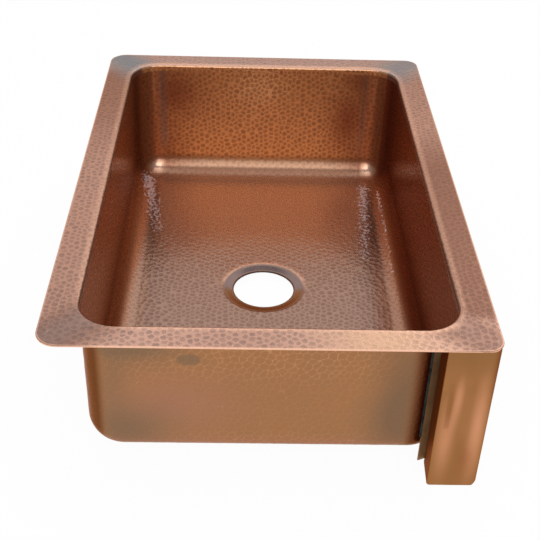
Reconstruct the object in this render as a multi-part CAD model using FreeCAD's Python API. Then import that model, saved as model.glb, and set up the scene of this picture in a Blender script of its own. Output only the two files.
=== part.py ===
"""Farmhouse apron front sink in sheet copper: one bowl, a hammered rim and a folded apron.

Millimetres, +Z up, +X to the right of someone who stands at the apron, -Y towards that person.
The origin is the centre of the drain hole, on the face that the strainer's flange rests on.
The sink is left and right alike, so each piece of one end is mirrored to the other.
"""
import FreeCAD, Part
import os
from math import asin, cos, sin, sqrt

from FreeCAD import Vector

# ---- Rim: four strips, mitred and welded, their inner edge rolled down into the bowl
rim_length = 762.0
rim_width = 508.0
rim_sheet = 2.0
rim_land_end = 36.0  # rim's edge to the bowl's outer wall, at the two ends
rim_land_side = 38.0  # the same, at the front and the back
rim_back_corner_radius = 25.0
rim_front_corner_radius = 19.0
rim_edge_radius = 0.8
roll_radius = 5.0  # of the upper face, where it turns down
collar_depth = 11.0  # rim's top to the lower edge of the rolled collar

# ---- Bowl: walls and floor raised from one sheet
sheet = 1.6
bowl_height = 203.2  # rim's top to the underside of the drain ring
bowl_corner_radius = 44.4  # inside, between two walls
floor_radius = 34.0  # inside, between wall and floor
floor_fall = 1.5
dish_radius = 165.0  # where the floor starts to fall

# ---- Drain ring
drain_hole_radius = 44.45
recess_radius = 58.5
recess_depth = 3.0
ring_sheet = 2.0
ring_lap = 7.5
ring_step = 1.6  # metal behind the step, outside the recess wall
braze_leg = 2.0

# ---- Apron: one folded sheet that hangs under the rim's front
apron_height = 212.0  # rim's top to the apron's lower edge
apron_front_setback = 3.5
apron_end_setback = 5.0
apron_depth = 58.5  # front face to the outer face of the inner returns
apron_bend_radius = 3.5
hem_radius = 5.0
hem_depth = 20.0
hem_end_gap = 8.0  # from each end's outer face to the turned-back edge
clip_depth = 5.0  # snipped corner of each end, at the lower front
clip_height = 8.0
return_rise = 7.4  # how far a return's lower edge climbs towards the bowl
return_relief = 5.0  # gap over a return, which clears the rim's roll

# ---- Cleats: tinned straps that tie the returns to the bowl's front corners
cleat_sheet = 1.5
cleat_face = 8.5  # leg on the bowl's corner
cleat_leg = 12.0  # leg inside the return
cleat_clearance = 0.3  # between the leg on the bowl and the return's edge
cleat_drop = 203.0  # rim's top to a cleat's lower end
cleat_head = 16.0  # rim's top to its upper end

# ---- Welds and solder
weld_bead = 1.8
weld_height = 3.0
weld_chamfer = 1.1
mitre_groove_depth = 1.4  # V under each mitre, as far to each side as it is deep
solder_leg = 2.6
solder_toe = 2.0
lap_gap = 0.3  # between a curved wall and a strap laid on it
fusion_gap = 0.05  # between a curved wall and the solder that wets it

# ---- Heights over the drain seat
rim_top = bowl_height - ring_sheet
rim_under = rim_top - rim_sheet
collar_bottom = rim_top - collar_depth
floor_edge = recess_depth
floor_top = floor_edge + floor_fall
floor_under = floor_top - sheet
apron_bottom = rim_top - apron_height

# ---- Half sizes and radii seen from above
rim_x = rim_length / 2
rim_y = rim_width / 2
wall_x = rim_x - rim_land_end
wall_y = rim_y - rim_land_side
inside_x = wall_x - sheet
inside_y = wall_y - sheet
wall_corner_radius = bowl_corner_radius + sheet
corner_x = wall_x - wall_corner_radius
corner_y = wall_y - wall_corner_radius
lap_radius = recess_radius + ring_lap

# ---- Apron planes
apron_x = rim_x - apron_end_setback
apron_front_y = -(rim_y - apron_front_setback)
return_y = apron_front_y + apron_depth
apron_mid_y = (apron_front_y + return_y) / 2

# ---- Corners, by the signs of X and Y
front_left = (-1, -1)
front_right = (1, -1)
back_right = (1, 1)
back_left = (-1, 1)


def rounded(half_x, half_y, front_radius, back_radius, z):
    """Face inside a rectangle about the Z axis whose corners are quarter circles."""
    corners = [
        (half_x - back_radius, half_y - back_radius, back_radius, 0),
        (back_radius - half_x, half_y - back_radius, back_radius, 90),
        (front_radius - half_x, front_radius - half_y, front_radius, 180),
        (half_x - front_radius, front_radius - half_y, front_radius, 270),
    ]
    arcs = [Part.makeCircle(r, Vector(x, y, z), Vector(0, 0, 1), a, a + 90) for x, y, r, a in corners]
    edges = []
    for here, after in zip(arcs, arcs[1:] + arcs[:1]):
        edges.append(here)
        edges.append(Part.makeLine(here.lastVertex().Point, after.firstVertex().Point))
    return Part.Face(Part.Wire(edges))


def slab(half_x, half_y, front_radius, back_radius, low, high):
    """Rounded rectangle carried straight up from one height to another."""
    return rounded(half_x, half_y, front_radius, back_radius, low).extrude(Vector(0, 0, high - low))


def bowl_slab(offset, low, high):
    """The bowl's inside outline, grown outwards by an offset and carried upwards."""
    radius = bowl_corner_radius + offset
    return slab(inside_x + offset, inside_y + offset, radius, radius, low, high)


def box(x0, x1, y0, y1, z0, z1):
    """Plain box between two corners."""
    return Part.makeBox(x1 - x0, y1 - y0, z1 - z0, Vector(x0, y0, z0))


def prism(points, along):
    """Polygon of three-dimensional points, carried along a vector."""
    corners = [Vector(*p) for p in points]
    return Part.Face(Part.makePolygon(corners + corners[:1])).extrude(Vector(*along))


def revolved(points):
    """Polygon of (radius, height) points turned once round the Z axis."""
    corners = [Vector(r, 0, z) for r, z in points]
    face = Part.Face(Part.makePolygon(corners + corners[:1]))
    return face.revolve(Vector(0, 0, 0), Vector(0, 0, 1), 360)


def level_edges(shape, z, half_x, half_y):
    """Edges of a shape that lie at one height, within a rectangle seen from above."""
    found = []
    for edge in shape.Edges:
        b = edge.BoundBox
        level = abs(b.ZMin - z) < 0.01 and abs(b.ZMax - z) < 0.01
        within = max(abs(b.XMin), abs(b.XMax)) < half_x and max(abs(b.YMin), abs(b.YMax)) < half_y
        if level and within:
            found.append(edge)
    return found


def both_ends(shape):
    """A shape of the left end and its mirror image at the right end."""
    return shape, shape.mirror(Vector(0, 0, 0), Vector(1, 0, 0))


def basin_shell():
    """Walls and floor, rounded where they meet, with a shallow dish that falls to the drain."""
    outer = bowl_slab(sheet, floor_under, collar_bottom)
    outer = outer.makeFillet(floor_radius + sheet, level_edges(outer, floor_under, rim_x, rim_y))
    inner = bowl_slab(0, floor_top, collar_bottom + sheet)
    inner = inner.makeFillet(floor_radius, level_edges(inner, floor_top, rim_x, rim_y))
    dish = Part.makeCone(lap_radius, dish_radius, floor_fall, Vector(0, 0, floor_edge))
    under_dish = dish.translated(Vector(0, 0, -sheet))
    hole = Part.makeCylinder(recess_radius, bowl_height, Vector(0, 0, -recess_depth))
    return outer.fuse(under_dish).cut(inner).cut(dish).cut(hole).removeSplitter()


def drain_seat():
    """Stepped ring that laps under the floor and carries the strainer 3 mm lower."""
    lap_top = floor_edge - sheet
    step = recess_radius + ring_step
    return revolved([
        (drain_hole_radius, 0),
        (recess_radius, 0),
        (recess_radius, lap_top),
        (lap_radius, lap_top),
        (lap_radius, lap_top - ring_sheet),
        (step, lap_top - ring_sheet),
        (step, -ring_sheet),
        (drain_hole_radius, -ring_sheet),
    ])


def drain_seat_braze():
    """Fillet of braze in the corner between the ring's edge and the floor's underside."""
    top = floor_edge - sheet - fusion_gap
    return revolved([(lap_radius, top), (lap_radius + braze_leg, top), (lap_radius, top - braze_leg)])


def rim_frame():
    """The whole rim: a flat deck that rolls down into a short collar at the bowl's wall."""
    deck = slab(rim_x, rim_y, rim_front_corner_radius, rim_back_corner_radius, rim_under, rim_top)
    collar = bowl_slab(rim_sheet, collar_bottom, rim_under)
    frame = deck.fuse(collar).cut(bowl_slab(0, collar_bottom - 1, rim_top + 1)).removeSplitter()
    frame = frame.makeFillet(roll_radius, level_edges(frame, rim_top, wall_x, wall_y))
    bend_edges = level_edges(frame, rim_under, wall_x + rim_sheet, wall_y + rim_sheet)
    frame = frame.makeFillet(roll_radius - rim_sheet, bend_edges)
    outer_edges = [e for e in level_edges(frame, rim_top, rim_x + 1, rim_y + 1)
                   if max(abs(e.BoundBox.XMax), abs(e.BoundBox.XMin)) > wall_x + roll_radius
                   or max(abs(e.BoundBox.YMax), abs(e.BoundBox.YMin)) > wall_y + roll_radius]
    return frame.makeFillet(rim_edge_radius, outer_edges)


def on_mitre(corner, distance, z):
    """Point at a distance along a corner's mitre, from the centre of the bowl's corner."""
    sx, sy = corner
    run = Vector(sx * (rim_x - corner_x), sy * (rim_y - corner_y), 0)
    run.normalize()
    return Vector(sx * corner_x, sy * corner_y, z) + run * distance


def mitre_groove(corner):
    """V ground under a mitre, from the flat of the deck to past the rim's corner."""
    over = 1.0
    start = on_mitre(corner, bowl_corner_radius + roll_radius, rim_under)
    run = on_mitre(corner, 2 * (rim_y - corner_y), rim_under) - start
    side = Vector(-run.y, run.x, 0)
    side.normalize()
    side = side * (mitre_groove_depth + over)
    top = start + Vector(0, 0, mitre_groove_depth)
    foot = start - Vector(0, 0, over)
    return prism([top, foot + side, foot - side], run)


def rim_strips(frame):
    """The rim cut along its four mitres, from each outer corner to the centre of the bowl's corner."""
    low = collar_bottom - 1
    reach = 2 * (rim_y - corner_y)

    def strip(a, b):
        """Part of the frame between the mitres of two neighbouring corners, grooved for their welds."""
        outline = [on_mitre(a, reach, low), on_mitre(b, reach, low), on_mitre(b, 0, low), on_mitre(a, 0, low)]
        piece = frame.common(prism(outline, (0, 0, collar_depth + 2)))
        return piece.cut(mitre_groove(a)).cut(mitre_groove(b))

    def parted(piece):
        """An end strip with its faces parted where the apron stops: the land behind is its own face."""
        ahead = box(-rim_x, rim_x, -rim_y, return_y, low, rim_top + 1)
        return piece.common(ahead).fuse(piece.cut(ahead))

    return {
        "rim_front": strip(front_left, front_right),
        "rim_right": parted(strip(front_right, back_right)),
        "rim_back": strip(back_right, back_left),
        "rim_left": parted(strip(back_left, front_left)),
    }


def rim_corner_welds(frame):
    """Weld that fills the groove under each mitre, dressed flush with the rim's underside."""
    corners = (front_left, front_right, back_right, back_left)
    return Part.makeCompound([frame.common(mitre_groove(corner)) for corner in corners])


def rim_basin_weld():
    """Bead all round the bowl, under the collar's lower edge."""
    low = collar_bottom - weld_height
    ring = bowl_slab(sheet + weld_bead, low, collar_bottom)
    ring = ring.makeChamfer(weld_chamfer, level_edges(ring, low, rim_x, rim_y))
    return ring.cut(bowl_slab(sheet, low - 1, collar_bottom + 1))


def cleat_corners():
    """Corners of the left cleat's section: one leg lies on the bowl's corner, one inside the return.

    The leg on the bowl is square to the radius of the bowl's corner that meets its middle.
    """
    on_wall = wall_corner_radius + lap_gap
    middle_y = return_y + cleat_face / 2
    tilt = asin((-corner_y - middle_y) / on_wall)
    out = Vector(-cos(tilt), -sin(tilt), 0)
    along = Vector(-sin(tilt), cos(tilt), 0)
    back = Vector(-corner_x, -corner_y, 0) + out * on_wall
    face = back + out * cleat_sheet
    inner_y = return_y - sheet

    def at_height(point, y):
        """Point on the leg's line through a point, at a given Y."""
        return point + along * ((y - point.y) / along.y)

    tip = along * (cleat_face / 2)
    bend_face = at_height(face, inner_y)
    bend_back = at_height(back, inner_y - cleat_sheet)
    end_x = bend_face.x - cleat_leg
    return {
        "tip_back": back + tip,
        "tip_face": face + tip,
        "bend_face": bend_face,
        "leg_end_face": Vector(end_x, inner_y, 0),
        "leg_end_back": Vector(end_x, inner_y - cleat_sheet, 0),
        "bend_back": bend_back,
    }


def cleat():
    """Left cleat: the bent strap's section carried up from its lower end to its head."""
    c = cleat_corners()
    low = rim_top - cleat_drop
    order = ("tip_back", "tip_face", "bend_face", "leg_end_face", "leg_end_back", "bend_back")
    section = [(c[name].x, c[name].y, low) for name in order]
    return prism(section, (0, 0, cleat_drop - cleat_head))


def cleat_solder():
    """Left seam: three-cornered bead between the cleat's edge and the bowl's corner."""
    c = cleat_corners()
    centre = Vector(-corner_x, -corner_y, 0)
    tip_back, tip_face = c["tip_back"], c["tip_face"]
    side = tip_face - tip_back
    along = Vector(side.y, -side.x, 0)
    along.normalize()
    toe = tip_back + along * solder_toe - centre
    toe.normalize()
    toe = centre + toe * (wall_corner_radius + fusion_gap)
    low = floor_under + floor_radius
    high = rim_top - cleat_head
    return prism([(p.x, p.y, low) for p in (tip_back, tip_face, toe)], (0, 0, high - low))


def wrap(inset, low, high):
    """Rectangular tube's core round the apron, inset from its outer faces."""
    radius = apron_bend_radius - min(inset, sheet)
    core = slab(apron_x - inset, apron_depth / 2 - inset, radius, radius, low, high)
    return core.translated(Vector(0, apron_mid_y, 0))


def apron_panel():
    """Front, ends and inner returns folded from one sheet, with the front's lower edge turned back."""
    over = 1.0
    tube = wrap(0, apron_bottom, rim_under).cut(wrap(sheet, apron_bottom - over, rim_under + over))
    return_end = cleat_clearance - cleat_corners()["tip_face"].x
    mouth = box(-return_end, return_end, return_y - sheet - over, return_y + over,
                apron_bottom - over, rim_under + over)
    tube = tube.cut(mouth)

    # The returns stop short of the rim's roll, and their lower edges climb towards the bowl.
    for side in (-1, 1):
        bend_x = side * (apron_x - apron_bend_radius)
        end_x = side * (return_end - over)
        x0, x1 = sorted((bend_x, end_x))
        tube = tube.cut(box(x0, x1, return_y - sheet - over, return_y + over, rim_under - return_relief,
                            rim_under + over))
        slope = [
            (bend_x, return_y - sheet - over, apron_bottom),
            (end_x, return_y - sheet - over, apron_bottom + return_rise),
            (end_x, return_y - sheet - over, apron_bottom - over),
            (bend_x, return_y - sheet - over, apron_bottom - over),
        ]
        tube = tube.cut(prism(slope, (0, sheet + 2 * over, 0)))

    # The front's lower edge turns back between the two ends.
    hem_x = apron_x - hem_end_gap
    tube = tube.cut(box(-hem_x, hem_x, apron_front_y - over, apron_front_y + sheet, apron_bottom - over,
                        apron_bottom + hem_radius))
    panel = tube.fuse(hem(hem_x)).removeSplitter()

    # Each end's lower front corner is snipped.
    for side in (-1, 1):
        x0 = -apron_x if side < 0 else hem_x
        snip = [
            (x0, apron_front_y - over, apron_bottom + clip_height),
            (x0, apron_front_y, apron_bottom + clip_height),
            (x0, apron_front_y + clip_depth, apron_bottom),
            (x0, apron_front_y + clip_depth, apron_bottom - over),
            (x0, apron_front_y - over, apron_bottom - over),
        ]
        panel = panel.cut(prism(snip, (apron_x - hem_x, 0, 0)))
    return panel


def hem(half_length):
    """The front's lower edge: a quarter bend and a flat flange that points back at the bowl."""
    x = -half_length
    y = apron_front_y
    z = apron_bottom
    inner = hem_radius - sheet
    centre = Vector(x, y + hem_radius, z + hem_radius)
    diagonal = sqrt(0.5)

    def at(radius, dy, dz):
        """Point on one of the bend's two arcs."""
        return centre + Vector(0, -radius * dy, -radius * dz)

    def arc(radius):
        """Quarter circle of the bend, from the front's face to the flange's face."""
        return Part.Arc(at(radius, 1, 0), at(radius, diagonal, diagonal), at(radius, 0, 1)).toShape()

    outer_arc = arc(hem_radius)
    inner_arc = arc(inner)
    lip_low = Vector(x, y + hem_depth, z)
    lip_high = Vector(x, y + hem_depth, z + sheet)
    edges = [
        outer_arc,
        Part.makeLine(at(hem_radius, 0, 1), lip_low),
        Part.makeLine(lip_low, lip_high),
        Part.makeLine(lip_high, at(inner, 0, 1)),
        inner_arc,
        Part.makeLine(at(inner, 1, 0), at(hem_radius, 1, 0)),
    ]
    return Part.Face(Part.Wire(edges)).extrude(Vector(2 * half_length, 0, 0))


def apron_rim_solder():
    """Fillet inside the apron's top edge, along the front and both ends."""
    low = rim_under - solder_leg
    ring = wrap(sheet, low, rim_under).cut(wrap(sheet + solder_leg, low - 1, rim_under + 1))
    open_y = return_y - sheet - cleat_sheet - solder_leg
    return ring.cut(box(-rim_x, rim_x, open_y, return_y, low - 1, rim_under + 1))


left_cleat, right_cleat = both_ends(cleat())
left_solder, right_solder = both_ends(cleat_solder())
rim = rim_frame()

nodes = {
    "basin_shell": basin_shell(),
    "drain_seat": drain_seat(),
    "drain_seat_braze": drain_seat_braze(),
    "rim_corner_welds": rim_corner_welds(rim),
    "rim_basin_weld": rim_basin_weld(),
    "apron_panel": apron_panel(),
    "apron_cleat_left": left_cleat,
    "apron_cleat_right": right_cleat,
    "cleat_solder_left": left_solder,
    "cleat_solder_right": right_solder,
    "apron_rim_solder": apron_rim_solder(),
}
nodes.update(rim_strips(rim))

os.makedirs("parts", exist_ok=True)
for name, shape in nodes.items():
    shape.exportStep("parts/" + name + ".step")
    print(name, "valid", shape.isValid(), "solids", len(shape.Solids), "volume", round(shape.Volume, 1))
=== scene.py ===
"""Looks of a hammered copper apron-front sink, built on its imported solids.

Metres, +Z up, origin at the drain hole's centre. The sheets are numpy surfaces: a grid of points with
a normal each, struck with hammer blows, given a back and closed at its edges.
"""

from math import atan2, cos, pi, radians, sin

import bpy
import numpy as np
from mathutils import Matrix, Vector


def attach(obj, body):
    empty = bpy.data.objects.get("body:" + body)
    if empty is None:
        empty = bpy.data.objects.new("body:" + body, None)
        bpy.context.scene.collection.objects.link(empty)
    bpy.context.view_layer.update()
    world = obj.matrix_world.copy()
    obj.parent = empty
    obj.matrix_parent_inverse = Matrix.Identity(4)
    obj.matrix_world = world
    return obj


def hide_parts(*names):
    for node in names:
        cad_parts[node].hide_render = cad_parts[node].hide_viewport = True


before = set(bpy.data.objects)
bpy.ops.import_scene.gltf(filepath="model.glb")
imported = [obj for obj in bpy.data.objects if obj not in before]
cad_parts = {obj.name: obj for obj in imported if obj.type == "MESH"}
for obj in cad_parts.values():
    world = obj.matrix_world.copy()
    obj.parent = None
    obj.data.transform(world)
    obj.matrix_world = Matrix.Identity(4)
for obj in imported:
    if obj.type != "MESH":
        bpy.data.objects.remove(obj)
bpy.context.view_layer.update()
mm = 0.001

# ---- Sizes of the solids
RIM_X, RIM_Y = 381.0 * mm, 254.0 * mm
RIM_TOP, RIM_UNDER = 201.2 * mm, 199.2 * mm
RIM_BACK_CORNER, RIM_FRONT_CORNER = 25.0 * mm, 19.0 * mm
RIM_EDGE = 0.8 * mm
ROLL = 5.0 * mm
COLLAR_LOW = 190.2 * mm
COLLAR_SHEET = 2.0 * mm
SHEET = 1.6 * mm
CORNER = 44.4 * mm
CORNER_X, CORNER_Y = 299.0 * mm, 170.0 * mm
FLOOR_TURN = 34.0 * mm
FLOOR_TOP = 4.5 * mm
FLOOR_EDGE = 3.0 * mm
FLOOR_REACH = 38.0 * mm
DISH, LAP = 165.0 * mm, 66.0 * mm
RECESS, DRAIN = 58.5 * mm, 44.45 * mm
LIP, LIP_DROP = 3.5 * mm, 0.6 * mm
RING_SHEET, RING_STEP = 2.0 * mm, RECESS + 1.6 * mm
MIDDLE_X = 90.0 * mm
APRON_X, APRON_Y, RETURN_Y = 376.0 * mm, -250.5 * mm, -192.0 * mm
APRON_LOW, APRON_BEND, HEM_X = -10.8 * mm, 3.5 * mm, 368.0 * mm
HEM_TURN, HEM_DEPTH = 5.0 * mm, 20.0 * mm
SNIP_HIGH, SNIP_DEEP = 8.0 * mm, 5.0 * mm
RETURN_END = 345.08 * mm
RETURN_RISE, RETURN_RELIEF = 7.4 * mm, 5.0 * mm


# ---------------------------------------------------------------- hammer blows
def scatter(place, length_u, length_v, pitch, seed, upright=False):
    """Blow centres: a swaying six-cornered lattice over (u, v), each shifted by up to a quarter pitch.

    Its rows run along u, or along v when upright. The sway is a sum of sine waves 60 to 130 mm long.
    """
    rng = np.random.default_rng(seed)
    u = np.arange(-pitch, length_u + pitch, pitch * (0.866 if upright else 1))
    v = np.arange(-pitch, length_v + pitch, pitch * (1 if upright else 0.866))
    uu, vv = np.meshgrid(u, v, indexing="ij")
    if upright:
        vv = vv + 0.5 * pitch * (np.arange(u.size) % 2)[:, None]
    else:
        uu = uu + 0.5 * pitch * (np.arange(v.size) % 2)[None, :]
    along, across = uu, vv
    for length in (0.061, 0.083, 0.127):
        phase = rng.uniform(0, 2 * pi, 4)
        wave = 2 * pi / length
        uu = uu + 0.17 * pitch * np.sin(wave * along + phase[0]) * np.sin(0.7 * wave * across + phase[1])
        vv = vv + 0.17 * pitch * np.sin(wave * across + phase[2]) * np.sin(0.8 * wave * along + phase[3])
    uu = uu + rng.uniform(-0.25, 0.25, uu.shape) * pitch
    vv = vv + rng.uniform(-0.25, 0.25, vv.shape) * pitch
    margin = 0.4 * pitch
    keep = (uu > -margin) & (uu <= length_u + margin) & (vv > -margin) & (vv <= length_v + margin)
    return place(uu[keep], vv[keep])


class Blows:
    """A set of hammer blows, looked up by the small cube of space that each falls in."""

    def __init__(self, centres, pitch, depth, face, seed):
        self.cell = pitch * 1.25
        self.face = face
        self.centres = centres[self._spaced(centres, 0.62 * pitch)]
        rng = np.random.default_rng(seed)
        self.depths = depth * rng.uniform(0.66, 1.14, len(self.centres))
        self.tone = rng.uniform(0, 1, len(self.centres))
        self.table, self.low, self.size = self._table(self.centres)

    def _table(self, centres):
        """For each cube, the numbers of the blows inside it."""
        low = centres.min(0) - 2 * self.cell
        key = np.floor((centres - low) / self.cell).astype(int)
        size = key.max(0) + 3
        flat = np.ravel_multi_index(key.T, size)
        order = np.argsort(flat, kind="stable")
        ranked = flat[order]
        rank = np.arange(ranked.size) - np.searchsorted(ranked, ranked)
        table = np.full((int(np.prod(size)), int(rank.max()) + 1), -1)
        table[ranked, rank] = order
        return table, low, size

    def _near(self, points, table, low, size):
        """Each neighbouring cube's blows in turn, as one column of numbers after another."""
        key = np.floor((points - low) / self.cell).astype(int)
        for step in np.ndindex(3, 3, 3):
            at = np.clip(key + np.array(step) - 1, 0, size - 1)
            found = table[np.ravel_multi_index(at.T, size)]
            for column in range(table.shape[1]):
                yield found[:, column]

    def _spaced(self, centres, gap):
        """True for each centre that has no earlier one nearer than the gap."""
        table, low, size = self._table(centres)
        keep = np.ones(len(centres), bool)
        for other in self._near(centres, table, low, size):
            close = ((centres - centres[other]) ** 2).sum(1) < gap * gap
            keep &= ~(close & (other >= 0) & (other < np.arange(len(centres))))
        return keep

    def strike(self, points, normals, strength=1.0):
        """Moves points into the metal by the deepest blow there: its depth less r squared over 2 face radii.

        Returns the points, their normals and marks: "inside", the distance to the ridge between a point's
        dent and the next one, as a share of 3 mm, and the dent's own "tone".
        """
        shape = points.shape[:-1]
        p = points.reshape(-1, 3)
        n = normals.reshape(-1, 3)
        best, second = np.full(len(p), -1.0), np.full(len(p), -1.0)
        blow, rival = np.zeros(len(p), int), np.zeros(len(p), int)
        for other in self._near(p, self.table, self.low, self.size):
            gap = ((p - self.centres[other]) ** 2).sum(1)
            deep = np.where(other >= 0, self.depths[other] - gap / (2 * self.face), -1.0)
            better, runner = deep > best, deep > second
            rival = np.where(better, blow, np.where(runner, other, rival))
            second = np.where(better, best, np.where(runner, deep, second))
            blow = np.where(better, other, blow)
            best = np.where(better, deep, best)
        apart = np.linalg.norm(self.centres[blow] - self.centres[rival], axis=1)
        inside = (best - second) * self.face / np.maximum(apart, 1 * mm)
        inside = np.minimum(inside, np.sqrt(np.maximum(2 * self.face * self.depths[blow], 0))
                            - np.linalg.norm(p - self.centres[blow], axis=1) + 1 * mm)
        hit = best > 0
        power = np.broadcast_to(np.asarray(strength, float), shape).reshape(-1) * hit
        slope = (self.centres[blow] - p) / self.face
        slope -= n * (slope * n).sum(1)[:, None]
        moved = p - n * (best * power)[:, None]
        turned = n + slope * power[:, None]
        turned /= np.linalg.norm(turned, axis=1)[:, None]
        inside = np.clip(inside / (3 * mm), 0, 1) * hit
        marks = {"inside": inside.reshape(shape), "tone": self.tone[blow].reshape(shape)}
        return moved.reshape(points.shape), turned.reshape(points.shape), marks


def ramp(x, low, high):
    """Smooth step from 0 at low to 1 at high."""
    t = np.clip((x - low) / (high - low), 0, 1)
    return t * t * (3 - 2 * t)


# ---------------------------------------------------------------- closed pieces
# Marks kept on each point. The sheen and shade marks lay painted highlights and painted shade into the
# colour; the dark and wear marks carry some of each too.
NO_MARKS = dict.fromkeys(
    ("inside", "tone", "grey", "dark", "warm", "wall", "worn", "bloom", "soot", "lined"), 0.0) | {"tone": 0.5}


class Piece:
    """Grids of points with normals, welded where they meet into one closed mesh."""

    def __init__(self, name):
        self.name = name
        self.points, self.normals, self.marks = [], [], []
        self.faces, self.caps = [], []
        self.count = 0

    def patch(self, points, normals, marks=None):
        """Adds a grid, its faces turned to the side that its normals point to."""
        rows, columns = points.shape[:2]
        normals = np.broadcast_to(normals, points.shape)
        across = np.cross(points[1:, :-1] - points[:-1, :-1], points[:-1, 1:] - points[:-1, :-1])
        number = self.count + np.arange(rows * columns).reshape(rows, columns)
        quads = np.stack([number[:-1, :-1], number[1:, :-1], number[1:, 1:], number[:-1, 1:]], -1)
        quads = quads.reshape(-1, 4)
        if (across * normals[:-1, :-1]).sum() < 0:
            quads = quads[:, ::-1]
        self.faces.append(quads)
        self._keep(points, normals, marks)

    def _keep(self, points, normals, marks):
        levels = NO_MARKS | (marks or {})
        shape = points.shape[:-1]
        self.marks.append({key: np.broadcast_to(value, shape).reshape(-1) for key, value in levels.items()})
        self.points.append(points.reshape(-1, 3))
        self.normals.append(normals.reshape(-1, 3))
        self.count += points[..., 0].size

    def edge(self, face_row, back_row, normal):
        """Strip that joins the border of a face to the border of its back."""
        self.patch(np.stack([face_row, back_row], 1), np.asarray(normal, float))

    def cap(self, loop, normal):
        """One flat many-sided face, turned to its normal."""
        middle = loop.mean(0)
        area = np.cross(loop - middle, np.roll(loop, -1, 0) - middle).sum(0)
        number = self.count + np.arange(len(loop))
        if area @ np.asarray(normal, float) < 0:
            number = number[::-1]
        self.caps.append(number)
        self._keep(loop, np.broadcast_to(np.asarray(normal, float), loop.shape), None)

    def build(self, paints, node):
        """Welds the points, writes the mesh with its own normals and puts it in the CAD node's place.

        A second paint goes on the second grid, which is a sheet's back.
        """
        points = np.concatenate(self.points)
        normals = np.concatenate(self.normals)
        key = np.round(points * 1e6).astype(np.int64) + (1 << 20)
        key = (key[:, 0] << 42) + (key[:, 1] << 21) + key[:, 2]
        first, back = np.unique(key, return_index=True, return_inverse=True)[1:]
        quads = np.concatenate(self.faces)
        corners = np.concatenate([quads.reshape(-1)] + self.caps)
        sizes = np.concatenate([np.full(len(quads), 4), [len(c) for c in self.caps]]).astype(int)
        mesh = bpy.data.meshes.new(self.name)
        mesh.vertices.add(len(first))
        mesh.vertices.foreach_set("co", points[first].astype(np.float32).ravel())
        mesh.loops.add(len(corners))
        mesh.loops.foreach_set("vertex_index", back[corners].astype(np.int32))
        mesh.polygons.add(len(sizes))
        mesh.polygons.foreach_set("loop_start", (np.cumsum(sizes) - sizes).astype(np.int32))
        mesh.update(calc_edges=True)
        for name in self.marks[0]:
            values = np.concatenate([m[name] for m in self.marks])
            layer = mesh.attributes.new(name, "FLOAT", "POINT")
            layer.data.foreach_set("value", values[first].astype(np.float32))
        mesh.normals_split_custom_set(normals[corners].astype(np.float32))
        for paint in paints:
            mesh.materials.append(paint)
        if len(paints) > 1:
            at_back = [np.full(len(grid), number == 1) for number, grid in enumerate(self.faces)]
            at_back.append(np.zeros(len(self.caps), bool))
            mesh.polygons.foreach_set("material_index", np.concatenate(at_back).astype(np.int32))
        item = bpy.data.objects.new(self.name, mesh)
        bpy.context.scene.collection.objects.link(item)
        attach(item, "root")
        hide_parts(node)
        return item


def spaced(length, step):
    """Even stations from 0 to a length, about a step apart."""
    return np.linspace(0, length, int(round(length / step)) + 1)


def lift(flat, z):
    """Points in plan and their heights, as points in space."""
    return np.concatenate([flat, np.broadcast_to(z, flat.shape[:-1])[..., None]], -1)


def xyz(points):
    """The x, the y and the z of points, each a grid of its own."""
    return np.moveaxis(points, -1, 0)


# ---------------------------------------------------------------- the line that rim and walls follow
MITRE = atan2(RIM_Y - CORNER_Y, RIM_X - CORNER_X)
SIDES = {
    "back": ((1, 1), (-1, 1), pi / 2, MITRE, pi - MITRE),
    "left": ((-1, 1), (-1, -1), pi, pi - MITRE, pi + MITRE),
    "front": ((-1, -1), (1, -1), 1.5 * pi, pi + MITRE, 2 * pi - MITRE),
    "right": ((1, -1), (1, 1), 2 * pi, 2 * pi - MITRE, 2 * pi + MITRE),
}


def run_length(side):
    """Length of a side at the bowl's inside: half a corner, the straight, and half a corner."""
    a, b, middle, start, end = SIDES[side]
    straight = 2 * (CORNER_X if a[1] == b[1] else CORNER_Y)
    return CORNER * (end - start) + straight


def spine(side, s):
    """Centre and outward direction at arc length s of a side.

    The centre stays at a corner's centre while the direction turns, then moves along the straight.
    """
    a, b, middle, start, end = SIDES[side]
    a = np.array([a[0] * CORNER_X, a[1] * CORNER_Y])
    b = np.array([b[0] * CORNER_X, b[1] * CORNER_Y])
    straight = np.linalg.norm(b - a)
    first = CORNER * (middle - start)
    turn = middle + (np.minimum(s - first, 0) + np.maximum(s - first - straight, 0)) / CORNER
    travel = np.clip(s - first, 0, straight) / straight
    centre = a + (b - a) * travel[..., None]
    return centre, np.stack([np.cos(turn), np.sin(turn)], -1)


def rim_reach(centre, out):
    """Distance from the spine to the rim's outer edge: a straight side, or the circle of its corner."""
    c, s = np.maximum(np.abs(out[..., 0]), 1e-9), np.maximum(np.abs(out[..., 1]), 1e-9)
    a, b = RIM_X - CORNER_X, RIM_Y - CORNER_Y
    r = np.where(centre[..., 1] > 0, RIM_BACK_CORNER, RIM_FRONT_CORNER)
    p, q = a - r, b - r
    along = c * p + s * q
    circle = along + np.sqrt(np.maximum(along ** 2 - p * p - q * q + r * r, 0))
    return np.where(a * s / c <= q, a / c, np.where(b * c / s <= p, b / s, circle))


def wall_section(v):
    """Offset, height and inward normal at length v down the wall: straight, round the floor's turn, flat."""
    drop = COLLAR_LOW - FLOOR_TOP - FLOOR_TURN
    turn = np.clip(v - drop, 0, FLOOR_TURN * pi / 2) / FLOOR_TURN
    flat = np.maximum(v - drop - FLOOR_TURN * pi / 2, 0)
    offset = -FLOOR_TURN * (1 - np.cos(turn)) - flat
    z = COLLAR_LOW - np.clip(v, -ROLL, drop) - FLOOR_TURN * np.sin(turn)
    return offset, z, -np.cos(turn), np.sin(turn)


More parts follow.
